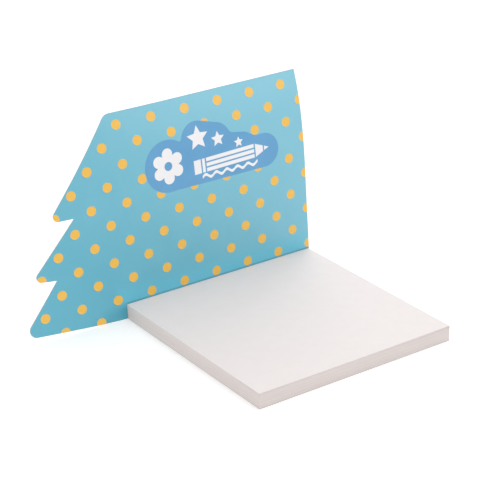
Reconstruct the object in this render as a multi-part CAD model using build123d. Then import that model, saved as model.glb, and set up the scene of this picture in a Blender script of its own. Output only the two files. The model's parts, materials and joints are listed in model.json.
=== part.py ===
from build123d import *
import os
from math import cos, degrees, radians, sin

# A square pad of sticky notes in a folded card cover, with the cover standing open.
#
# The cover is one sheet of card. Its back leaf lies under the notes and its spine
# stands against their glued rear edge. Its front leaf is the printed one and turns on
# the crease along the top of the spine. It runs on past the notes on the left, where a
# short slit frees it from the spine, so that it reaches down to the table there. That
# end is cut into three teeth.
#
# The origin is the middle of the notes' footprint, on the underside of the back leaf.
# +X runs right along the crease, +Y to the rear and +Z up. Sizes are in millimetres
# and angles in degrees. A rise is measured along the card, from the table.

# The notes
note_width = 75.0
note_depth = 75.0
note_count = 50
note_thickness = 0.098

# The card, and how far its right edge stands out past the notes
card_thickness = 0.3
card_overhang = 0.2

# The crease, where the edges of spine and leaf lie a gap from its line, the room between
# the closed leaf and the notes, the slit, and the room between the leaf and the table
crease_gap = 0.25
closing_clearance = 0.15
slit_width = 0.2
foot_clearance = 0.2

# The front leaf leans back, and curls further back in two bends below its top edge
leaf_rise = 70.0
leaf_lean = 4.5
lower_bend_run = 16.0
lower_bend_angle = 5.0
upper_bend_run = 18.0
upper_bend_angle = 11.0

# Its left end bows to the rear, from a line this far in from the notes' left edge
bow_inset = 25.0
bow_radius = 560.0

# The two upper teeth, from the top down. Each slants out to a tip and is cut back to the
# next notch. Reaches are measured from the notes' left edge.
tip_rises = (39.0, 20.3)
tip_reaches = (24.9, 32.6)
notch_rises = (38.8, 19.4)
notch_reaches = (15.8, 23.7)

# The lowest tooth, whose lower edge leaves the table at the heel
foot_tip_reach = 37.2
foot_tip_rise = 1.9
heel_reach = 9.0

# Rounding of the outline
top_corner_radius = 3.5
tip_radius = 1.8
foot_tip_radius = 2.6

# Worked out from the sizes above
notes_height = note_count * note_thickness
notes_top = card_thickness + notes_height
notes_left = -note_width / 2
notes_rear = note_depth / 2
card_right = note_width / 2 + card_overhang
spine_back = notes_rear + card_thickness
crease_rear = notes_rear + card_thickness / 2
crease_height = notes_top + closing_clearance + card_thickness / 2
spine_top = crease_height - crease_gap
leaf_bottom = crease_height + crease_gap
slit_left = notes_left - slit_width
bow_start = notes_left + bow_inset
cover_width = card_right - notes_left + foot_tip_reach


def leaf_front_line():
    """The front leaf's printed face seen from its right edge: rear is across, up is up.

    It runs on past the leaf's top edge by the thickness of the card, to be cut level there.
    """
    lean = radians(leaf_lean)
    upward = Vector(sin(lean), cos(lean))
    forward = Vector(-cos(lean), sin(lean))
    start = Vector(crease_rear, crease_height) - upward * crease_height + forward * (card_thickness / 2)
    straight_run = leaf_rise - lower_bend_run - upper_bend_run
    straight = Line(start, start + upward * straight_run)
    lower_radius = lower_bend_run / radians(lower_bend_angle)
    lower_bend = JernArc(straight @ 1, straight % 1, lower_radius, -lower_bend_angle)
    upper_radius = upper_bend_run / radians(upper_bend_angle)
    upper_bend = JernArc(lower_bend @ 1, lower_bend % 1, upper_radius, -upper_bend_angle)
    top_end = Line(upper_bend @ 1, upper_bend @ 1 + (upper_bend % 1) * card_thickness)
    return Wire([straight, lower_bend, upper_bend, top_end])


def curled_card():
    """Card with the leaf's curl and bow, wider than the leaf: straight, then bowed."""
    section = make_face(offset(leaf_front_line(), amount=card_thickness, side=Side.RIGHT))
    section = Plane.YZ.offset(bow_start) * section
    straight = extrude(section, amount=cover_width)
    bow_axis = Axis((bow_start, notes_rear + bow_radius, 0), (0, 0, -1))
    bow_angle = degrees(cover_width / bow_radius)
    bowed = revolve(section, axis=bow_axis, revolution_arc=bow_angle)
    return straight + bowed


def leaf_corners():
    """Corners of the standing front leaf as (across, height, radius), from its right edge."""
    front_line = leaf_front_line()

    def height(rise):
        return front_line.position_at(rise, position_mode=PositionMode.LENGTH).Y

    corners = [
        (card_right, leaf_bottom, 0.0),
        (card_right, height(leaf_rise), 0.0),
        (notes_left, height(leaf_rise), top_corner_radius),
    ]
    teeth = zip(tip_reaches, tip_rises, notch_reaches, notch_rises)
    for tip_reach, tip_rise, notch_reach, notch_rise in teeth:
        corners.append((notes_left - tip_reach, height(tip_rise), tip_radius))
        corners.append((notes_left - notch_reach, height(notch_rise), 0.0))
    corners.append((notes_left - foot_tip_reach, height(foot_tip_rise), foot_tip_radius))
    corners.append((notes_left - heel_reach, foot_clearance, 0.0))
    corners.append((slit_left, foot_clearance, 0.0))
    corners.append((slit_left, leaf_bottom, 0.0))
    return corners


def rounded_face(corners):
    """A face from a list of (across, height, radius)."""
    points = [(across, height) for across, height, radius in corners]
    radii = [radius for across, height, radius in corners]
    return make_face(FilletPolyline(*points, radius=radii, close=True))


def front_cover():
    """The printed leaf: curled card, cut to the leaf's outline."""
    outline = Plane.XZ * rounded_face(leaf_corners())
    return curled_card() & extrude(outline, amount=note_depth + leaf_rise, both=True)


def back_cover():
    """Back leaf and spine, one piece of card, rounded outside where it folds up."""
    section = rounded_face([
        (-note_depth / 2, 0.0, 0.0),
        (spine_back, 0.0, card_thickness),
        (spine_back, spine_top, 0.0),
        (notes_rear, spine_top, 0.0),
        (notes_rear, card_thickness, 0.0),
        (-note_depth / 2, card_thickness, 0.0),
    ])
    return extrude(Plane.YZ.offset(notes_left) * section, amount=card_right - notes_left)


def note_block():
    """All the notes, glued along their rear edge."""
    block = Box(note_width, note_depth, notes_height, align=(Align.CENTER, Align.CENTER, Align.MIN))
    return Pos(0, 0, card_thickness) * block


def main():
    """Write one STEP file for each piece."""
    os.makedirs("parts", exist_ok=True)
    pieces = {"front_cover": front_cover(), "back_cover": back_cover(), "note_block": note_block()}
    for name, piece in pieces.items():
        export_step(piece, f"parts/{name}.step")


main()
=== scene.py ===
import itertools
import json
import math
import random

import bmesh
import bpy
from mathutils import Matrix, Vector


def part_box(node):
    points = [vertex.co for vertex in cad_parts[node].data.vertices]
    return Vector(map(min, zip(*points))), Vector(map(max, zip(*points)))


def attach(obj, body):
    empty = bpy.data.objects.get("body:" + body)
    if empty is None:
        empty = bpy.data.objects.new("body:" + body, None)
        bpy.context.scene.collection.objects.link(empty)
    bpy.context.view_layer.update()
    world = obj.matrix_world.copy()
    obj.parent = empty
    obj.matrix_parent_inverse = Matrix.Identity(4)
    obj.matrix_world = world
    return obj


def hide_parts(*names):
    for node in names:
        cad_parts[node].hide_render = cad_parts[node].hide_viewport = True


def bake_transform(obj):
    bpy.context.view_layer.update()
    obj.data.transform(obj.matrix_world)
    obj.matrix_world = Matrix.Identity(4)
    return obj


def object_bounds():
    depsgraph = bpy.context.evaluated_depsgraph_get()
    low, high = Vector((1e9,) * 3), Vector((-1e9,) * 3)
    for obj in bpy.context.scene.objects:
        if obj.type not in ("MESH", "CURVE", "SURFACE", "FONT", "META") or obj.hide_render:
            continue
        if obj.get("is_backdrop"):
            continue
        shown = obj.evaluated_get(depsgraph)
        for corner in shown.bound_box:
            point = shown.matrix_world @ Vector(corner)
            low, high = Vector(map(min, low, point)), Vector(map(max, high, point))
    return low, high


# Looks for a pad of sticky notes in a folded card cover that stands open.
#
# Lengths are in metres, written as millimetres times MM. A place on the card is given on
# the flat sheet, before it was folded: across is the model's X, and a rise is measured
# along the card, up from the table. The card's UV map holds the same two numbers in
# millimetres, so its printed pattern follows the card through folds and curls.

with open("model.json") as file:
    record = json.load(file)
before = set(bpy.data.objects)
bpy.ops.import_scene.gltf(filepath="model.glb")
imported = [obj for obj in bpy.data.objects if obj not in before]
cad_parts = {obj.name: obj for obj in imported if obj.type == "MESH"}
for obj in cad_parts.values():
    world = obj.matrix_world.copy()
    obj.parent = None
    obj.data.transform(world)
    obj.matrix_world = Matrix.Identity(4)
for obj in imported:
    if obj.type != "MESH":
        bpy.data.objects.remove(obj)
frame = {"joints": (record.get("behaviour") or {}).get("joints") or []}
cad_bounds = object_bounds()

MM = 0.001

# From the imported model
notes_low, notes_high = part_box("note_block")
back_low, back_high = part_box("back_cover")
crease = Vector(frame["joints"][0]["pos_m"])
card_thickness = notes_low.z - back_low.z
card_right = back_high.x
spine_top = back_high.z
crease_gap = crease.z - spine_top

# The front leaf leans back, then curls further back in two bends, each (length, angle)
LEAF_RISE = 70 * MM
LEAN = math.radians(4.5)
BENDS = ((16 * MM, math.radians(5)), (18 * MM, math.radians(11)))
STRAIGHT_RUN = LEAF_RISE - sum(length for length, angle in BENDS)

# Its left end bows to the rear
BOW_START = notes_low.x + 25 * MM
BOW_RADIUS = 560 * MM

# The crease is straight, so over the notes the bow grows from nothing there to all of it
# this far up. It is free of the crease this far past the notes' left edge.
BOW_EASE_RISE = 16 * MM
BOW_EASE_REACH = 9 * MM

# Outline of the leaf's left end: the top corner, and then the teeth from the top down as
# (reach past the notes' left edge, rise, radius of the rounding) in millimetres
TOP_CORNER_RADIUS = 3.5 * MM
TEETH = (
    (24.9, 39.0, 1.8),
    (15.8, 38.8, 0),
    (32.6, 20.3, 1.8),
    (23.7, 19.4, 0),
    (37.2, 1.9, 2.6),
)
HEEL_REACH = 9 * MM
FOOT_CLEARANCE = 0.2 * MM
SLIT_WIDTH = 0.08 * MM

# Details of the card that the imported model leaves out: the inside of the fold below the
# spine, the softened cut edges, the crease pressed into a ridge in front and a groove
# behind, and the print, which goes on down the spine a little
FOLD_RADIUS = 0.06 * MM
CUT_ROUNDING = 0.04 * MM
CUT_SHOULDER = 0.3 * CUT_ROUNDING
CREASE_RIDGE = 0.03 * MM
CREASE_GROOVE = 0.06 * MM
PRINT_BELOW_CREASE = 1 * MM

# The card's mesh, with how near a point lies to a cut or a line to count as on it
CARD_CELL = 2 * MM
SPINE_CELL = 0.8 * MM
CREASE_CELL = 0.05 * MM
FOLD_CELLS = 8
ROUNDING_STEPS = 8
ON_CUT = 1e-7
ON_LINE = 1e-6
SHARP_ANGLE = math.radians(20)

# Material slots of a piece of card and of the notes, and how far to the right of the
# printed face the card's back lies on the UV map
FACE, BACK, EDGE = 0, 1, 2
PAPER, PAPER_EDGE = 0, 1
BACK_SIDE_SHIFT = 300 * MM

# The notes. A sheet fills this share of its room. The trim jitters from sheet to sheet and
# drifts up the stack, in two waves of so many radians a sheet.
NOTE_COUNT = 50
SHEET_SHARE = 0.93
SHEET_CELLS = 10
TRIM_JITTER = 0.02 * MM
TRIM_DRIFT = 0.05 * MM
DRIFT_TURNS = (0.37, 0.11)
SEED = 7

# The uppermost notes lift towards the front, more at the corners than in the middle
LIFTED_SHEETS = 7
CORNER_LIFT = 0.16 * MM
MIDDLE_LIFT_SHARE = 0.25
LIFT_POWER = 2.5

# The print is in millimetres on the flat card. Its dots are two square grids.
DOT_PITCH = 13.0
DOT_AT = (31.0, 65.9)
DOT_RADIUS = 1.67

# The ground's fade, which is painted light and sheen, is a slope (across, up), with what it comes
# to at its darkest and its lightest. The other pairs are distances over which something fades
# out.
SKY_PAINTED_LIGHT_SLOPE = (0.0026, 0.0032)
SKY_PAINTED_LIGHT_RANGE = (-0.13, 0.27)
SKY_MOTTLE = 0.12
# Painted light along the crease, thrown there by the notes' top
PAINTED_BOUNCE_BAND = (0.5, 9.0)
# A patch of painted shadow on the foot beside the notes, flattened upwards
PAINTED_SHADOW_PATCH = (6.0, 16.0)
PAINTED_SHADOW_FLATNESS = 2.2
# A band of painted shade in the fold; the cracks in it are wear
PAINTED_FOLD_SHADE_BAND = (0.05, 0.55)
CRACK_BAND = (0.01, 0.08)
INK_EDGE = 0.05
RAGGEDNESS = 0.12

# The plaque is a union of strokes with round ends: (start, end, radius)
PLAQUE = (
    ((-17.3, 48.3), (-17.3, 48.3), 8.9),
    ((-5.2, 54.8), (1.8, 52.8), 6.2),
    ((-12.0, 45.4), (21.0, 45.2), 5.9),
    ((8.0, 47.9), (12.0, 47.2), 6.3),
)
PLAQUE_BLEND = 2.0

# White shapes on it: a flower whose petals are strokes from a root to a reach, and stars as
# (centre, radius)
FLOWER_CENTRE = (-17.3, 48.3)
FLOWER_EYE_RADIUS = 1.5
PETALS = 6
PETAL_ROOT = 2.87
PETAL_REACH = 4.1
PETAL_RADIUS = 1.98
STARS = (((-4.9, 55.2), 4.3), ((2.9, 53.2), 2.7), ((11.0, 50.3), 1.9))
STAR_POINTS = 5
STAR_WAIST = 0.48

# A pencil, with how far along it the rubber and the ferrule end and how long the lead is
PENCIL_START = (-7.4, 45.4)
PENCIL_END = (22.9, 46.0)
PENCIL_HALF_WIDTH = 2.4
PENCIL_POINT_SLOPE = 0.42
PENCIL_RUBBER = 3.0
PENCIL_FERRULE = 4.6
PENCIL_LEAD = 2.1
PENCIL_FACET_SHARE = 0.36
PENCIL_LINE_HALF = 0.26

# A wavy line below it
WAVE_START = -4.0
WAVE_END = 17.5
WAVE_RISE = 41.7
WAVE_LENGTH = 4.3
WAVE_SWING = 0.55
WAVE_HALF_WIDTH = 0.5

# Colours as linear light
# From the low blue to the high one, the ground holds painted light and sheen
SKY_LOW = (0.100, 0.440, 0.577, 1)
SKY_HIGH = (0.198, 0.540, 0.675, 1)
# Painted light from the notes along the crease
SKY_PAINTED_BOUNCE = (0.108, 0.540, 0.715, 1)
# Painted shadow on the foot beside the notes
SKY_PAINTED_SHADOW = (0.055, 0.370, 0.500, 1)
# Painted shade in the fold
SKY_PAINTED_FOLD_SHADE = (0.045, 0.270, 0.370, 1)
ORANGE = (0.925, 0.522, 0.053, 1)
ORANGE_DEEP = (0.895, 0.490, 0.046, 1)
PLAQUE_BLUE = (0.098, 0.350, 0.625, 1)
PLAQUE_BLUE_DEEP = (0.084, 0.330, 0.605, 1)
PRINT_WHITE = (0.90, 0.885, 0.90, 1)
CARD_WHITE = (0.80, 0.79, 0.765, 1)
CARD_FIBRE = (0.70, 0.68, 0.645, 1)
CARD_SPECK = (0.42, 0.39, 0.34, 1)
EDGE_WHITE = (0.66, 0.625, 0.61, 1)
EDGE_GREY = (0.54, 0.51, 0.495, 1)
NOTE_WHITE = (0.858, 0.797, 0.786, 1)
NOTE_SHADE = (0.834, 0.769, 0.755, 1)
# The notes' edges are darker than their faces, partly the paper's cut edge and partly painted
# shade on the pad's sides
NOTE_EDGE = (0.780, 0.710, 0.685, 1)
NOTE_EDGE_SHADE = (0.670, 0.605, 0.585, 1)
FLOOR_PALE = (0.90, 0.90, 0.90, 1)
FLOOR_PALER = (0.93, 0.93, 0.93, 1)
FLOOR_GLOW = (1.0, 0.99, 0.985, 1)

# The studio. A softbox is (azimuth, elevation, distance, size, power), in degrees, metres
# and watts. Azimuth 0 is in front of the notes and 90 to their right.
FLOOR_RADIUS = 1.0
FLOOR_SIDES = 96
FLOOR_GLOW_STRENGTH = 0.24
SKY_LIGHT = 0.59
SKY_SEEN = 1.0
SOFTBOXES = {
    "top": (20, 80, 1.2, 0.8, 2.3),
    "top_right": (110, 68, 1.2, 0.8, 2.2),
    "rear_right": (140, 35, 1.2, 0.8, 3.5),
    "low_front": (36, 20, 1.2, 0.6, 1.9),
    "left": (-75, 22, 1.3, 0.9, 1.45),
    "low_left": (-100, 12, 1.2, 0.8, 1.5),
}

# The camera: the point it aims at, the way from there to it, and its lens in millimetres
AIM = Vector((28.65, 66.98, 0)) * MM
CAMERA_AZIMUTH = math.radians(-34.737)
CAMERA_ELEVATION = math.radians(24.310)
CAMERA_ROLL = math.radians(-0.792)
CAMERA_DISTANCE = 642.55 * MM
CAMERA_LENS = 132.7
CAMERA_CLIP = (0.01, 50)


# ---------------------------------------------------------------- shape of the card

def printed_face(rise):
    """(y, z, lean) of the standing leaf's printed face at a rise, right of its bow."""
    run = min(rise, STRAIGHT_RUN)
    y = crease.y + (run - crease.z) * math.sin(LEAN) - card_thickness / 2 * math.cos(LEAN)
    z = crease.z + (run - crease.z) * math.cos(LEAN) + card_thickness / 2 * math.sin(LEAN)
    lean = LEAN
    bend_start = STRAIGHT_RUN
    for length, angle in BENDS:
        radius = length / angle
        turned = lean + min(max(rise - bend_start, 0), length) / radius
        y += radius * (math.cos(lean) - math.cos(turned))
        z += radius * (math.sin(turned) - math.sin(lean))
        lean = turned
        bend_start += length
    return y, z, lean


def straight_rise(height):
    """The rise at which the lower, straight part of the leaf has a height."""
    return (height - printed_face(0)[1]) / math.cos(LEAN)


# Rises at which parts of the card meet: the fold's two ends and the leaf's lower edge
fold_low = card_thickness + FOLD_RADIUS * (1 - math.pi / 2)
fold_high = card_thickness + FOLD_RADIUS
leaf_bottom = straight_rise(crease.z + crease_gap)


def ease(value, low, high):
    """0 below low and 1 above high, smoothly between."""
    share = min(max((value - low) / (high - low), 0), 1)
    return share * share * (3 - 2 * share)


def into_card(y, z, lean, depth):
    """A point moved into the card, square to its face."""
    return y + depth * math.cos(lean), z - depth * math.sin(lean)


def on_leaf(across, rise, depth):
    """A point of the front leaf, depth being how far behind its printed face it lies."""
    y, z = into_card(*printed_face(rise), depth)
    past_bow = BOW_START - across
    if past_bow > 0:
        radius = BOW_RADIUS + notes_high.y - y
        over_notes = ease(across, notes_low.x - BOW_EASE_REACH, notes_low.x)
        near_crease = 1 - ease(rise, leaf_bottom, leaf_bottom + BOW_EASE_RISE)
        bow = radius - math.sqrt(radius ** 2 - past_bow ** 2)
        y += bow * (1 - over_notes * near_crease)
    return Vector((across, y, z))


def on_back(across, rise, depth):
    """A point of the back leaf, the spine and the crease, which are one sheet of card."""
    turn = min(max((fold_high - rise) / FOLD_RADIUS, 0), math.pi / 2)
    y = notes_high.y - FOLD_RADIUS * (1 - math.cos(turn))
    z = fold_high - FOLD_RADIUS * math.sin(turn)
    y += min(rise - fold_low, 0)
    z += max(rise - fold_high, 0)
    share = ease(rise, spine_top, leaf_bottom)
    leaf_y, leaf_z, leaf_lean = printed_face(max(rise, spine_top))
    y += (leaf_y - y) * share
    z += (leaf_z - z) * share
    scored = max(1 - ((rise - crease.z) / crease_gap) ** 2, 0) ** 2
    y, z = into_card(y, z, turn + leaf_lean * share, depth)
    y -= scored * (CREASE_RIDGE + (CREASE_GROOVE - CREASE_RIDGE) * depth / card_thickness)
    return Vector((across, y, z))


def rounded(corners):
    """The closed outline through (across, rise, radius) corners, each rounded by its radius."""
    points = []
    earlier = corners[-1:] + corners[:-1]
    later = corners[1:] + corners[:1]
    for before, corner, after in zip(earlier, corners, later):
        here, radius = Vector(corner[:2]), corner[2]
        if radius == 0:
            points.append(here)
            continue
        back = (Vector(before[:2]) - here).normalized()
        ahead = (Vector(after[:2]) - here).normalized()
        half = back.angle(ahead) / 2
        centre = here + (back + ahead).normalized() * radius / math.sin(half)
        first = back * radius / math.tan(half) + here - centre
        last = ahead * radius / math.tan(half) + here - centre
        for step in range(ROUNDING_STEPS + 1):
            way = first.lerp(last, step / ROUNDING_STEPS).normalized()
            points.append(centre + way * radius)
    return points


def flat_sheet(corners, across_cuts, rise_cuts):
    """The flat outline filled with small faces, cut along the given lines."""
    sheet = bmesh.new()
    sheet.faces.new([sheet.verts.new((*point, 0)) for point in rounded(corners)])
    for axis, cuts in enumerate((across_cuts, rise_cuts)):
        square_to = (axis == 0, axis == 1, 0)
        for cut in cuts:
            bmesh.ops.bisect_plane(
                sheet,
                geom=sheet.verts[:] + sheet.edges[:] + sheet.faces[:],
                dist=ON_CUT,
                plane_co=Vector(square_to) * cut,
                plane_no=square_to,
            )
    bmesh.ops.triangulate(sheet, faces=[face for face in sheet.faces if len(face.verts) > 4])
    sheet.verts.index_update()
    return sheet


def outward_ways(sheet, joined_rise):
    """The sheet's boundary edges as vertex pairs, and each of their vertices' way out.

    A vertex has no way out along the line where another sheet carries on.
    """
    edges, ways = [], {}
    for edge in sheet.edges:
        if not edge.is_boundary:
            continue
        loop = edge.link_loops[0]
        first, last = loop.vert, loop.link_loop_next.vert
        edges.append((first.index, last.index))
        along = (last.co - first.co).normalized()
        joined = max(abs(vertex.co.y - joined_rise) for vertex in (first, last)) < ON_LINE
        for vertex in (first, last):
            ways.setdefault(vertex.index, [])
            if not joined:
                ways[vertex.index].append(Vector((along.y, -along.x)))
    for index, found in ways.items():
        if len(found) == 2:
            ways[index] = (found[0] + found[1]) / (1 + found[0].dot(found[1]))
        else:
            ways[index] = found[0] if found else Vector((0, 0))
    return edges, ways


def card_piece(name, corners, across_cuts, rise_cuts, place, materials, print_start=0):
    """A sheet of card with a printed face, a bare back and a softly rounded cut edge.

    The materials are those of the face, the back and the edge. Below the rise where the
    print starts, the face is bare too.
    """
    sheet = flat_sheet(corners, across_cuts, rise_cuts)
    edges, ways = outward_ways(sheet, leaf_bottom)

    # The cut edge's section as (outset, depth), from the face to the back
    deep = card_thickness
    profile = (
        (-CUT_ROUNDING, 0),
        (-CUT_SHOULDER, CUT_SHOULDER),
        (0, CUT_ROUNDING),
        (0, deep - CUT_ROUNDING),
        (-CUT_SHOULDER, deep - CUT_SHOULDER),
        (-CUT_ROUNDING, deep),
    )
    flat = [vertex.co.xy for vertex in sheet.verts]
    points, rings = [], []
    for outset, depth in profile:
        whole = depth in (0, deep)
        ring = {}
        for index, at in enumerate(flat):
            if whole or index in ways:
                moved = at + ways[index] * outset if index in ways else at
                ring[index] = len(points)
                points.append(place(*moved, depth))
        rings.append(ring)

    # Face, back and edge. On the UV map the edge runs on outwards from the outline.
    faces, uvs, slots = [], [], []
    for face in sheet.faces:
        corner_ids = [vertex.index for vertex in face.verts]
        faces.append([rings[0][i] for i in corner_ids])
        uvs.append([flat[i] for i in corner_ids])
        slots.append(FACE if face.calc_center_median().y > print_start else BACK)
        corner_ids.reverse()
        faces.append([rings[-1][i] for i in corner_ids])
        uvs.append([flat[i] + Vector((BACK_SIDE_SHIFT, 0)) for i in corner_ids])
        slots.append(BACK)
    for first, last in edges:
        for level in range(len(profile) - 1):
            quad = ((first, level), (first, level + 1), (last, level + 1), (last, level))
            faces.append([rings[k][i] for i, k in quad])
            uvs.append([flat[i] + ways[i] * sum(profile[k]) for i, k in quad])
            slots.append(EDGE)
    sheet.free()
    return new_piece(name, points, faces, uvs, slots, materials)


def new_piece(name, points, faces, uvs, slots, materials):
    """A mesh object from its points, faces, UVs in metres and material slots."""
    mesh = bpy.data.meshes.new(name)
    mesh.from_pydata(points, [], faces)
    flat_map = mesh.uv_layers.new(name="Flat")
    in_millimetres = [value / MM for face in uvs for at in face for value in at]
    flat_map.uv.foreach_set("vector", in_millimetres)
    for material in materials:
        mesh.materials.append(material)
    mesh.polygons.foreach_set("material_index", slots)
    mesh.shade_smooth()
    mesh.set_sharp_from_angle(angle=SHARP_ANGLE)
    mesh.update()
    piece = bpy.data.objects.new(name, mesh)
    bpy.context.scene.collection.objects.link(piece)
    return piece


def steps(low, high, spacing):
    """Evenly spaced values inside a range."""
    count = max(round((high - low) / spacing), 1)
    return [low + (high - low) * k / count for k in range(1, count)]


def make_front_leaf(materials):
    """The printed leaf, from the crease up, with its teeth and its foot on the left."""
    corners = [
        (card_right, leaf_bottom, 0),
        (card_right, LEAF_RISE, 0),
        (notes_low.x, LEAF_RISE, TOP_CORNER_RADIUS),
    ]
    for reach, rise, radius in TEETH:
        corners.append((notes_low.x - reach * MM, rise * MM, radius * MM))
    slit_left = notes_low.x - SLIT_WIDTH
    foot = straight_rise(FOOT_CLEARANCE)
    corners.append((notes_low.x - HEEL_REACH, foot, 0))
    corners.append((slit_left, foot, 0))
    corners.append((slit_left, leaf_bottom, 0))
    left = min(across for across, rise, radius in corners)
    across_cuts = steps(left, card_right, CARD_CELL)
    rise_cuts = steps(0, LEAF_RISE, CARD_CELL)
    return card_piece("front_leaf", corners, across_cuts, rise_cuts, on_leaf, materials)


def make_back_leaf(materials):
    """The leaf under the notes with the spine and the crease, up to the front leaf's edge."""
    front_edge = fold_low - (notes_high.y - FOLD_RADIUS - back_low.y)
    corners = [
        (back_low.x, front_edge, 0),
        (card_right, front_edge, 0),
        (card_right, leaf_bottom, 0),
        (back_low.x, leaf_bottom, 0),
    ]
    across_cuts = steps(back_low.x, card_right, CARD_CELL)
    rise_cuts = steps(front_edge, fold_low, CARD_CELL)
    fold_cell = (fold_high - fold_low) / FOLD_CELLS
    rise_cuts += [fold_low] + steps(fold_low, fold_high, fold_cell) + [fold_high]
    rise_cuts += steps(fold_high, spine_top, SPINE_CELL) + [spine_top]
    rise_cuts += steps(spine_top, leaf_bottom, CREASE_CELL)
    return card_piece(
        "back_leaf",
        corners,
        across_cuts,
        rise_cuts,
        on_back,
        materials,
        print_start=spine_top - PRINT_BELOW_CREASE,
    )


# ---------------------------------------------------------------- the notes

def note_lift(level, over, back):
    """How far a note rises at its shares of the way across and back."""
    aside = (2 * over - 1) ** 2
    share = MIDDLE_LIFT_SHARE + (1 - MIDDLE_LIFT_SHARE) * aside
    return CORNER_LIFT * level ** 2 * (1 - back) ** LIFT_POWER * share


def note_quads():
    """One note's faces as (points, slot). Its points are a lower grid and then an upper one."""
    side = SHEET_CELLS + 1
    top = side * side
    quads = []
    for row in range(SHEET_CELLS):
        for column in range(SHEET_CELLS):
            at = row * side + column
            quad = (at, at + 1, at + side + 1, at + side)
            quads.append(([top + i for i in quad], PAPER))
            quads.append((quad[::-1], PAPER))
    last_row = side * SHEET_CELLS
    for k in range(SHEET_CELLS):
        borders = (
            (k, k + 1),
            (k * side + SHEET_CELLS, (k + 1) * side + SHEET_CELLS),
            (last_row + k + 1, last_row + k),
            ((k + 1) * side, k * side),
        )
        for a, b in borders:
            quads.append(((a, b, top + b, top + a), PAPER_EDGE))
    return quads


def make_note_sheets(materials):
    """Every note as a thin sheet, held at the glued rear edge and trimmed a little unevenly."""
    rng = random.Random(SEED)
    pitch = (notes_high.z - notes_low.z) / NOTE_COUNT
    layers = (0, pitch * SHEET_SHARE)
    shares = [k / SHEET_CELLS for k in range(SHEET_CELLS + 1)]
    quads = note_quads()
    points, faces, uvs, slots = [], [], [], []
    for sheet in range(NOTE_COUNT):
        fast, slow = (sheet * turn for turn in DRIFT_TURNS)
        drift = TRIM_DRIFT * math.sin(fast) * math.sin(slow + 1)
        left = notes_low.x + abs(rng.gauss(0, TRIM_JITTER)) + max(drift, 0)
        right = notes_high.x - abs(rng.gauss(0, TRIM_JITTER)) + min(drift, 0)
        front = notes_low.y + abs(rng.gauss(0, TRIM_JITTER)) + abs(drift) / 2
        level = max(sheet + 1 + LIFTED_SHEETS - NOTE_COUNT, 0) / LIFTED_SHEETS
        first = len(points)
        for layer, back, over in itertools.product(layers, shares, shares):
            points.append(Vector((
                left + (right - left) * over,
                front + (notes_high.y - front) * back,
                notes_low.z + sheet * pitch + layer + note_lift(level, over, back),
            )))
        for quad, slot in quads:
            face = [first + i for i in quad]
            faces.append(face)
            uvs.append([points[i].xy + Vector((0, points[i].z)) for i in face])
            slots.append(slot)
    return new_piece("note_sheets", points, faces, uvs, slots, materials)


# ---------------------------------------------------------------- materials

class Nodes:
    """Adds nodes to a new material. An input is a value or another node's output."""

    def __init__(self, name):
        self.material = bpy.data.materials.new(name)
        self.material.use_nodes = True
        self.tree = self.material.node_tree
        self.shader = self.tree.nodes["Principled BSDF"]

    def plug(self, socket, value):
        """Feeds a socket from a node's output, or sets its value."""
        if isinstance(value, bpy.types.NodeSocket):
            self.tree.links.new(value, socket)
        else:
            socket.default_value = value

    def add(self, kind, inputs, output=0, **settings):
        """One output of a new node, with the inputs and settings given."""
        node = self.tree.nodes.new(kind)
        for name, value in settings.items():
            setattr(node, name, value)
        for key, value in inputs.items():
            self.plug(node.inputs[key], value)
        return node.outputs[output]

    def math(self, operation, *values, clamp=False):
        inputs = dict(enumerate(values))
        return self.add("ShaderNodeMath", inputs, operation=operation, use_clamp=clamp)

    def vector(self, operation, *values):
        inputs = dict(enumerate(values))
        return self.add("ShaderNodeVectorMath", inputs, operation=operation)

    def number(self, operation, *values):
        """A vector operation whose answer is one number."""
        inputs = dict(enumerate(values))
        return self.add("ShaderNodeVectorMath", inputs, output=1, operation=operation)

    def mix(self, factor, first, second):
        """The first colour where the factor is 0 and the second where it is 1."""
        inputs = {0: factor, 6: first, 7: second}
        return self.add("ShaderNodeMix", inputs, output=2, data_type="RGBA")

    def spread(self, value, low, high, low_out, high_out):
        """The value's range from low to high, turned smoothly into low_out to high_out."""
        inputs = {0: value, 1: low, 2: high, 3: low_out, 4: high_out}
        return self.add("ShaderNodeMapRange", inputs, interpolation_type="SMOOTHSTEP")

    def noise(self, at, scale, detail=2.0, roughness=0.5):
        inputs = {"Vector": at, "Scale": scale, "Detail": detail, "Roughness": roughness}
        return self.add("ShaderNodeTexNoise", inputs)

    def split(self, vector):
        """The three parts of a vector."""
        node = self.tree.nodes.new("ShaderNodeSeparateXYZ")
        self.plug(node.inputs[0], vector)
        return node.outputs

    def flat(self):
        """The place on the flat card or note, in millimetres."""
        return self.add("ShaderNodeUVMap", {}, uv_map="Flat")

    def place(self):
        """The place in the object, in metres."""
        return self.add("ShaderNodeTexCoord", {}, output=3)

    def bump(self, height, distance, normal=None):
        """Fine relief, over coarser relief where that is given as its normal."""
        inputs = {"Height": height, "Distance": distance, "Strength": 1.0}
        if normal is not None:
            inputs["Normal"] = normal
        return self.add("ShaderNodeBump", inputs)

    def finish(self, colour, roughness, normal, **constants):
        """The material, with its shader fed and its constant inputs set."""
        self.plug(self.shader.inputs["Base Color"], colour)
        self.plug(self.shader.inputs["Roughness"], roughness)
        self.plug(self.shader.inputs["Normal"], normal)
        for name, value in constants.items():
            self.shader.inputs[name.replace("_", " ")].default_value = value
        return self.material


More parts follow.
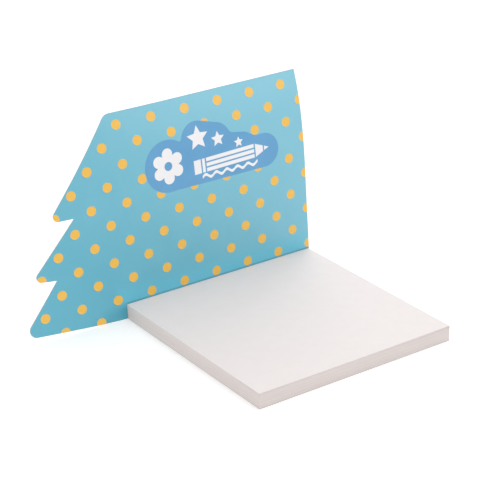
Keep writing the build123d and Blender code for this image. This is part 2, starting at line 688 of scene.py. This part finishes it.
def stroke(nodes, at, start, end, radius):
    """Distance past the outline of a straight stroke with round ends."""
    start, end = Vector((*start, 0)), Vector((*end, 0))
    offset = nodes.vector("SUBTRACT", at, start)
    along = end - start
    if along.length > 0:
        share = nodes.number("DOT_PRODUCT", offset, along / along.length_squared)
        share = nodes.math("MULTIPLY", share, 1.0, clamp=True)
        nearest = nodes.add("ShaderNodeVectorMath", {0: along, "Scale": share}, operation="SCALE")
        offset = nodes.vector("SUBTRACT", offset, nearest)
    return nodes.math("SUBTRACT", nodes.number("LENGTH", offset), radius)


def folded(nodes, at, centre, arms, first_angle=0.0):
    """The place round a centre, folded onto one arm: X runs out along it, Y is to its side."""
    offset = nodes.vector("SUBTRACT", at, (*centre, 0))
    x, y, _ = nodes.split(offset)
    angle = nodes.math("SUBTRACT", nodes.math("ARCTAN2", y, x), first_angle)
    half = math.pi / arms
    angle = nodes.math("ABSOLUTE", nodes.math("WRAP", angle, half, -half))
    reach = nodes.number("LENGTH", offset)
    out = nodes.math("MULTIPLY", reach, nodes.math("COSINE", angle))
    aside = nodes.math("MULTIPLY", reach, nodes.math("SINE", angle))
    return nodes.add("ShaderNodeCombineXYZ", {0: out, 1: aside})


def star(nodes, at, centre, radius):
    """Distance past the outline of a five-pointed star that stands on two points."""
    arm = folded(nodes, at, centre, STAR_POINTS, math.pi / 2)
    tip = Vector((radius, 0, 0))
    waist = STAR_WAIST * radius
    half_turn = math.pi / STAR_POINTS
    dent = Vector((waist * math.cos(half_turn), waist * math.sin(half_turn), 0))
    side = dent - tip
    way_out = Vector((-side.y, side.x, 0)).normalized()
    if way_out.dot(tip) < 0:
        way_out = -way_out
    return nodes.number("DOT_PRODUCT", nodes.vector("SUBTRACT", arm, tip), way_out)


def flower(nodes, at):
    """Distance past the outline of a flower of round petals with an open eye."""
    arm = folded(nodes, at, FLOWER_CENTRE, PETALS, math.pi / PETALS)
    petal = stroke(nodes, arm, (PETAL_ROOT, 0), (PETAL_REACH, 0), PETAL_RADIUS)
    eye = stroke(nodes, at, FLOWER_CENTRE, FLOWER_CENTRE, FLOWER_EYE_RADIUS)
    return nodes.math("MAXIMUM", petal, nodes.math("MULTIPLY", eye, -1.0))


def pencil(nodes, at):
    """Distance past the outline of a pencil, less its fine lines."""
    start, end = Vector((*PENCIL_START, 0)), Vector((*PENCIL_END, 0))
    along = (end - start).normalized()
    aside = Vector((-along.y, along.x, 0))
    length = (end - start).length
    offset = nodes.vector("SUBTRACT", at, start)
    x = nodes.number("DOT_PRODUCT", offset, along)
    y = nodes.math("ABSOLUTE", nodes.number("DOT_PRODUCT", offset, aside))
    taper = nodes.math("MULTIPLY", nodes.math("SUBTRACT", length, x), PENCIL_POINT_SLOPE)
    width = nodes.math("MINIMUM", taper, PENCIL_HALF_WIDTH)
    past_side = nodes.math("SUBTRACT", y, width)
    outline = nodes.math("MAXIMUM", past_side, nodes.math("MULTIPLY", x, -1.0))

    # Lines cross it at the rubber, the ferrule, the shoulder and the lead, and run along
    # it between ferrule and shoulder
    shoulder = length - PENCIL_HALF_WIDTH / PENCIL_POINT_SLOPE
    lines = [
        nodes.math("ABSOLUTE", nodes.math("SUBTRACT", x, place))
        for place in (PENCIL_RUBBER, PENCIL_FERRULE, shoulder, length - PENCIL_LEAD)
    ]
    facet_at = PENCIL_HALF_WIDTH * PENCIL_FACET_SHARE
    facet = nodes.math("ABSOLUTE", nodes.math("SUBTRACT", y, facet_at))
    before_body = nodes.math("SUBTRACT", PENCIL_FERRULE, x)
    past_body = nodes.math("MAXIMUM", before_body, nodes.math("SUBTRACT", x, shoulder))
    lines.append(nodes.math("MAXIMUM", facet, past_body))
    nearest = lines[0]
    for line in lines[1:]:
        nearest = nodes.math("MINIMUM", nearest, line)
    off_lines = nodes.math("SUBTRACT", PENCIL_LINE_HALF, nearest)
    return nodes.math("MAXIMUM", outline, off_lines)


def wave(nodes, at):
    """Distance past the outline of a wavy line."""
    x, y, _ = nodes.split(at)
    phase = nodes.math("MULTIPLY", x, 2 * math.pi / WAVE_LENGTH)
    swing = nodes.math("MULTIPLY", nodes.math("SINE", phase), WAVE_SWING)
    height = nodes.math("SUBTRACT", y, WAVE_RISE)
    off = nodes.math("ABSOLUTE", nodes.math("SUBTRACT", height, swing))
    before = nodes.math("SUBTRACT", WAVE_START, x)
    ends = nodes.math("MAXIMUM", before, nodes.math("SUBTRACT", x, WAVE_END))
    return nodes.math("SUBTRACT", nodes.math("MAXIMUM", off, ends), WAVE_HALF_WIDTH)


def nearest_of(nodes, distances, blend=0.0):
    """The union of several shapes, its inner corners filled by blend."""
    found = distances[0]
    for distance in distances[1:]:
        found = nodes.math("SMOOTH_MIN", found, distance, blend)
    return found


def dots(nodes, at):
    """Distance past the nearest dot's outline, on two square grids, one between the other."""
    half = DOT_PITCH / 2
    grids = []
    for shift in (0, half):
        local = nodes.vector("SUBTRACT", at, (DOT_AT[0] + shift, DOT_AT[1] + shift, 0))
        local = nodes.vector("WRAP", local, (half, half, half), (-half, -half, -half))
        grids.append(nodes.number("LENGTH", local))
    return nodes.math("SUBTRACT", nodes.math("MINIMUM", *grids), DOT_RADIUS)


def sky(nodes, at, soft, from_crease, past_notes):
    """The blue ground of the print, with painted light, painted bounce light and painted shadow
    laid over it. The print's blue ground, deeper and lighter where the photo's is.
    """

    # Painted light and sheen: it fades from a deep blue low on the left to a lighter one high on
    # the right, where the leaf catches more light
    fade = nodes.number("DOT_PRODUCT", at, (*SKY_PAINTED_LIGHT_SLOPE, 0))
    mottle = nodes.math("MULTIPLY", nodes.math("SUBTRACT", soft, 0.5), SKY_MOTTLE)
    fade = nodes.math("ADD", fade, mottle)
    ground = nodes.mix(nodes.spread(fade, *SKY_PAINTED_LIGHT_RANGE, 0.0, 1.0), SKY_LOW, SKY_HIGH)

    # Painted light: it is lighter along the crease over the notes, where their top throws light
    # onto the leaf
    off_painted_bounce = nodes.math("MAXIMUM", from_crease, nodes.math("MULTIPLY", past_notes, 2.0))
    ground = nodes.mix(nodes.spread(off_painted_bounce, *PAINTED_BOUNCE_BAND, 0.8, 0.0), ground, SKY_PAINTED_BOUNCE)
    # Painted shadow: it is deepest on the foot beside the notes, in the corner where they meet it
    off_painted_shadow = nodes.vector("SUBTRACT", at, (notes_low.x / MM, 0, 0))
    off_painted_shadow = nodes.vector("MULTIPLY", off_painted_shadow, (1.0, PAINTED_SHADOW_FLATNESS, 1.0))
    off_painted_shadow = nodes.number("LENGTH", off_painted_shadow)
    return nodes.mix(nodes.spread(off_painted_shadow, *PAINTED_SHADOW_PATCH, 0.85, 0.0), ground, SKY_PAINTED_SHADOW)


def crease_shade_and_cracks(nodes, at, colour, off_crease):
    """The crease over a colour: painted shade darkens its ink, and cracks in it show the card's
    white core.
    """
    painted_fold_shade = nodes.spread(off_crease, *PAINTED_FOLD_SHADE_BAND, 0.75, 0.0)
    colour = nodes.mix(painted_fold_shade, colour, SKY_PAINTED_FOLD_SHADE)
    cracked = nodes.spread(off_crease, *CRACK_BAND, 0.35, 0.0)
    broken = nodes.spread(nodes.noise(at, 3.0, detail=5), 0.55, 0.65, 0.0, 1.0)
    return nodes.mix(nodes.math("MULTIPLY", cracked, broken), colour, CARD_WHITE)


def make_printed_card():
    """Card printed with a sky-blue ground, orange dots and a plaque of white shapes."""
    nodes = Nodes("printed_card")
    at = nodes.flat()
    fine = nodes.noise(at, 9.0, detail=4)
    soft = nodes.noise(at, 0.09, detail=3)
    ragged = nodes.math("MULTIPLY", nodes.math("SUBTRACT", fine, 0.5), RAGGEDNESS)
    across, rise, _ = nodes.split(at)
    from_crease = nodes.math("ABSOLUTE", nodes.math("SUBTRACT", rise, crease.z / MM))
    past_notes = nodes.math("SUBTRACT", notes_low.x / MM, across)

    def printed(distance):
        """How much ink a shape leaves, its outline a little ragged."""
        distance = nodes.math("ADD", distance, ragged)
        return nodes.spread(distance, -INK_EDGE, INK_EDGE, 1.0, 0.0)

    # Dots lie on the ground, the plaque on them and the white shapes on the plaque
    orange = nodes.mix(nodes.spread(fine, 0.3, 0.7, 0.0, 1.0), ORANGE_DEEP, ORANGE)
    uneven = nodes.spread(soft, 0.35, 0.65, 0.0, 1.0)
    blue = nodes.mix(uneven, PLAQUE_BLUE_DEEP, PLAQUE_BLUE)
    strokes = [stroke(nodes, at, *shape) for shape in PLAQUE]
    plaque = nearest_of(nodes, strokes, PLAQUE_BLEND)
    whites = [star(nodes, at, *shape) for shape in STARS]
    whites += [flower(nodes, at), pencil(nodes, at), wave(nodes, at)]
    colour = sky(nodes, at, soft, from_crease, past_notes)
    colour = nodes.mix(printed(dots(nodes, at)), colour, orange)
    colour = nodes.mix(printed(plaque), colour, blue)
    colour = nodes.mix(printed(nearest_of(nodes, whites)), colour, PRINT_WHITE)
    # Painted shade in the fold over the notes, and cracks in its ink
    off_crease = nodes.math("MAXIMUM", from_crease, past_notes)
    colour = crease_shade_and_cracks(nodes, at, colour, off_crease)

    # Ink lies a little unevenly over the card's grain
    speckle = nodes.spread(nodes.noise(at, 14.0, detail=3), 0.62, 0.8, 0.0, 0.10)
    colour = nodes.mix(speckle, colour, PRINT_WHITE)
    roughness = nodes.spread(fine, 0.25, 0.75, 0.30, 0.40)
    waves = nodes.bump(nodes.noise(at, 0.07, detail=1), 0.05 * MM)
    grain = nodes.bump(nodes.noise(at, 5.0, detail=5, roughness=0.6), 0.0035 * MM, waves)
    return nodes.finish(colour, roughness, grain, IOR=1.5, Specular_IOR_Level=0.8)


def make_bare_card():
    """Uncoated white board with fibres and a few specks: the card where it isn't printed."""
    nodes = Nodes("bare_card")
    at = nodes.flat()
    stretched = nodes.vector("MULTIPLY", at, (0.9, 3.5, 1.0))
    fibres = nodes.noise(stretched, 1.6, detail=6, roughness=0.65)
    clouds = nodes.noise(at, 0.12, detail=3)
    colour = nodes.mix(nodes.spread(fibres, 0.35, 0.75, 0.0, 0.6), CARD_WHITE, CARD_FIBRE)
    colour = nodes.mix(nodes.spread(clouds, 0.3, 0.7, 0.0, 0.18), colour, CARD_FIBRE)
    cells = nodes.add("ShaderNodeTexVoronoi", {"Vector": at, "Scale": 0.45})
    specks = nodes.spread(cells, 0.03, 0.055, 0.45, 0.0)
    colour = nodes.mix(specks, colour, CARD_SPECK)
    roughness = nodes.spread(fibres, 0.3, 0.7, 0.68, 0.86)
    grain = nodes.bump(fibres, 0.008 * MM, nodes.bump(clouds, 0.02 * MM))
    return nodes.finish(colour, roughness, grain, IOR=1.45)


def make_cut_edges():
    """The card's cut edge: pressed layers of fibre, a little greyer than its faces."""
    nodes = Nodes("card_cut_edge")
    at = nodes.flat()
    layers = nodes.noise(nodes.vector("MULTIPLY", at, (1.0, 14.0, 1.0)), 2.0, detail=4)
    nicks = nodes.noise(at, 1.1, detail=5)
    colour = nodes.mix(nodes.spread(layers, 0.35, 0.65, 0.0, 1.0), EDGE_GREY, EDGE_WHITE)
    colour = nodes.mix(nodes.spread(nicks, 0.55, 0.75, 0.0, 0.4), colour, EDGE_GREY)
    roughness = nodes.spread(nicks, 0.3, 0.7, 0.75, 0.9)
    return nodes.finish(colour, roughness, nodes.bump(layers, 0.01 * MM), IOR=1.45)


def make_note_paper():
    """Smooth uncoated writing paper: the face of a note."""
    nodes = Nodes("note_paper")
    at = nodes.flat()
    stretched = nodes.vector("MULTIPLY", at, (1.0, 1.8, 1.0))
    fibres = nodes.noise(stretched, 3.2, detail=6, roughness=0.6)
    clouds = nodes.noise(at, 0.25, detail=4)
    colour = nodes.mix(nodes.spread(clouds, 0.3, 0.7, 0.35, 0.85), NOTE_SHADE, NOTE_WHITE)
    colour = nodes.mix(nodes.spread(fibres, 0.55, 0.8, 0.0, 0.45), colour, NOTE_SHADE)
    roughness = nodes.spread(fibres, 0.3, 0.7, 0.62, 0.78)
    grain = nodes.bump(fibres, 0.005 * MM, nodes.bump(clouds, 0.006 * MM))
    return nodes.finish(colour, roughness, grain, IOR=1.45)


def make_note_edges():
    """Cut edges of the notes, each sheet a little lighter or darker than the next, and all darker
    than the faces: partly the paper's cut edge, partly painted shade on the pad's sides.
    """
    nodes = Nodes("note_edges")
    place = nodes.place()
    per_sheet = NOTE_COUNT / (notes_high.z - notes_low.z)

    def layered(across, upward, detail):
        stretched = nodes.vector("MULTIPLY", place, (across, across, upward))
        return nodes.noise(stretched, 1.0, detail=detail)

    layers = layered(25.0, 0.9 * per_sheet, 2)
    bundles = layered(12.0, 0.12 * per_sheet, 2)
    knife = layered(1500.0, 60.0, 3)
    tone = nodes.math("MULTIPLY", nodes.math("ADD", layers, bundles), 0.5)
    colour = nodes.mix(nodes.spread(tone, 0.25, 0.75, 0.15, 1.0), NOTE_EDGE_SHADE, NOTE_EDGE)
    roughness = nodes.spread(knife, 0.3, 0.7, 0.7, 0.9)
    return nodes.finish(colour, roughness, nodes.bump(knife, 0.01 * MM), IOR=1.45)


# ---------------------------------------------------------------- studio

def make_floor():
    """A wide pale studio floor that glows faintly, as a light table does."""
    nodes = Nodes("studio_floor")
    at = nodes.place()
    tone = nodes.spread(nodes.noise(at, 6.0, detail=2), 0.3, 0.7, 0.0, 1.0)
    nodes.finish(
        nodes.mix(tone, FLOOR_PALE, FLOOR_PALER),
        nodes.spread(tone, 0.0, 1.0, 0.7, 0.8),
        nodes.bump(nodes.noise(at, 900.0), 0.01 * MM),
        Emission_Color=FLOOR_GLOW,
        Emission_Strength=FLOOR_GLOW_STRENGTH,
    )
    bpy.ops.mesh.primitive_circle_add(
        vertices=FLOOR_SIDES,
        radius=FLOOR_RADIUS,
        fill_type="NGON",
        location=(0, 0, back_low.z),
    )
    floor = bpy.context.object
    floor.name = "studio_floor"
    floor.data.materials.append(nodes.material)
    floor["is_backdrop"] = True


def make_world():
    """An even white sky, brighter to look at than the light it gives."""
    world = bpy.data.worlds.new("studio_sky")
    world.use_nodes = True
    tree = world.node_tree
    background = tree.nodes["Background"]
    background.inputs["Color"].default_value = (1, 1, 1, 1)
    strength = tree.nodes.new("ShaderNodeMapRange")
    strength.inputs["To Min"].default_value = SKY_LIGHT
    strength.inputs["To Max"].default_value = SKY_SEEN
    path = tree.nodes.new("ShaderNodeLightPath")
    tree.links.new(path.outputs["Is Camera Ray"], strength.inputs["Value"])
    tree.links.new(strength.outputs["Result"], background.inputs["Strength"])
    bpy.context.scene.world = world


def way_to(azimuth, elevation):
    """The direction from the notes to an azimuth and elevation in radians."""
    return Vector((
        math.sin(azimuth) * math.cos(elevation),
        -math.cos(azimuth) * math.cos(elevation),
        math.sin(elevation),
    ))


def make_softbox(name, azimuth, elevation, distance, size, power):
    """A square softbox that faces the middle of the notes."""
    towards = way_to(math.radians(azimuth), math.radians(elevation))
    light = bpy.data.lights.new(name, "AREA")
    light.shape = "SQUARE"
    light.size = size
    light.energy = power
    lamp = bpy.data.objects.new(name, light)
    lamp.location = towards * distance
    lamp.rotation_mode = "QUATERNION"
    lamp.rotation_quaternion = towards.to_track_quat("Z", "Y")
    bpy.context.scene.collection.objects.link(lamp)


def make_camera():
    """The camera, with the small roll that the photograph has."""
    back = way_to(CAMERA_AZIMUTH, CAMERA_ELEVATION)
    level = Vector((math.cos(CAMERA_AZIMUTH), math.sin(CAMERA_AZIMUTH), 0))
    upright = back.cross(level)
    right = level * math.cos(CAMERA_ROLL) + upright * math.sin(CAMERA_ROLL)
    up = upright * math.cos(CAMERA_ROLL) - level * math.sin(CAMERA_ROLL)
    turn = Matrix((right, up, back)).transposed().to_4x4()
    data = bpy.data.cameras.new("camera")
    data.lens = CAMERA_LENS
    data.clip_start, data.clip_end = CAMERA_CLIP
    camera = bpy.data.objects.new("camera", data)
    camera.matrix_world = Matrix.Translation(AIM + back * CAMERA_DISTANCE) @ turn
    bpy.context.scene.collection.objects.link(camera)
    bpy.context.scene.camera = camera


# ---------------------------------------------------------------- the scene

make_camera()
make_world()
for box_name, box in SOFTBOXES.items():
    make_softbox(box_name, *box)
make_floor()
bpy.context.scene.view_settings.view_transform = "Standard"

card = [make_printed_card(), make_bare_card(), make_cut_edges()]
front_leaf = make_front_leaf(card)
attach(front_leaf, "cover")
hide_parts("front_cover")

back_leaf = make_back_leaf(card)
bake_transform(back_leaf)
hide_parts("back_cover")

note_sheets = make_note_sheets([make_note_paper(), make_note_edges()])
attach(note_sheets, "pad")
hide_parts("note_block")

sizes = {"cad": cad_bounds, "visual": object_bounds()}
{name: [list(corner) for corner in box] for name, box in sizes.items()}
